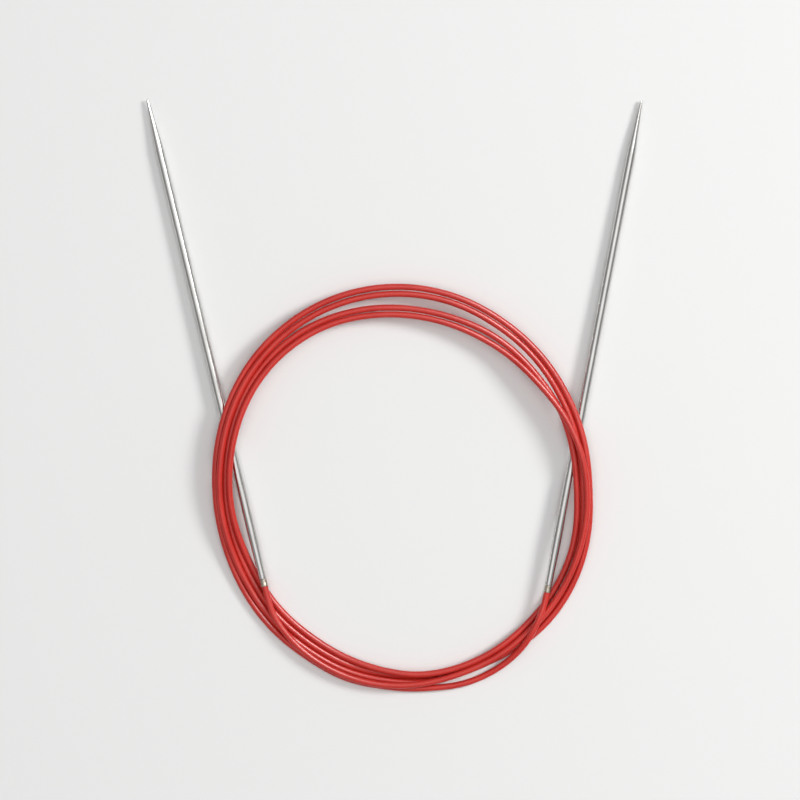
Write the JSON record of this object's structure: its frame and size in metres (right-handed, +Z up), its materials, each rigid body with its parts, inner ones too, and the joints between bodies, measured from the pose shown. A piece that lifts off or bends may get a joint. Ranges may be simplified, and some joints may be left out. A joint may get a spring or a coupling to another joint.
{
  "type": "circular knitting needle",
  "caption": "Circular knitting needle: slim hollow steel needles with long lace points, joined by a red nylon-covered steel cable that lies coiled over their shafts.",
  "frame": {"origin": "on the surface that the needle lies on, under the middle of the two needles' box seen from above", "axes": "+Z up off the surface; +Y towards the needle points; +X towards the right needle"},
  "size_m": [0.1258, 0.1502, 0.0069],
  "materials": {
    "cable_nylon": "smooth extruded red nylon, semi-gloss",
    "core_wire": "bright stranded wire",
    "collar_steel": "satin, slightly duller than the needle",
    "needle_steel": "fine satin polish"
  },
  "bodies": {
    "coil": {"cable_coil": "cable_nylon", "left_lead": "cable_nylon", "right_lead": "cable_nylon"},
    "left_cable_end": {"left_stiff_end": "cable_nylon"},
    "left_needle": {"left_needle": "needle_steel", "left_collar": "collar_steel", "left_core_end": "core_wire"},
    "right_cable_end": {"right_stiff_end": "cable_nylon"},
    "right_needle": {"right_needle": "needle_steel", "right_collar": "collar_steel", "right_core_end": "core_wire"}
  },
  "joints": [
    {"name": "left_swing", "type": "hinge", "parent": "coil", "child": "left_cable_end", "pos_m": [-0.03203, -0.0643, 0.00275], "axis": [0, 0, -1], "range_deg": [0, 25], "stiffness_Nm_per_rad": 0.01},
    {"name": "left_roll", "type": "hinge", "parent": "left_cable_end", "child": "left_needle", "pos_m": [-0.03203, -0.0643, 0.00275], "axis": [-0.2349, 0.9719, -0.014], "range_deg": [-90, 90], "stiffness_Nm_per_rad": 0.0002},
    {"name": "right_swing", "type": "hinge", "parent": "coil", "child": "right_cable_end", "pos_m": [0.03799, -0.06586, 0.00327], "axis": [0, 0, 1], "range_deg": [0, 25], "stiffness_Nm_per_rad": 0.01},
    {"name": "right_roll", "type": "hinge", "parent": "right_cable_end", "child": "right_needle", "pos_m": [0.03799, -0.06586, 0.00327], "axis": [0.1893, 0.9818, -0.0184], "range_deg": [-90, 90], "stiffness_Nm_per_rad": 0.0002}
  ]
}
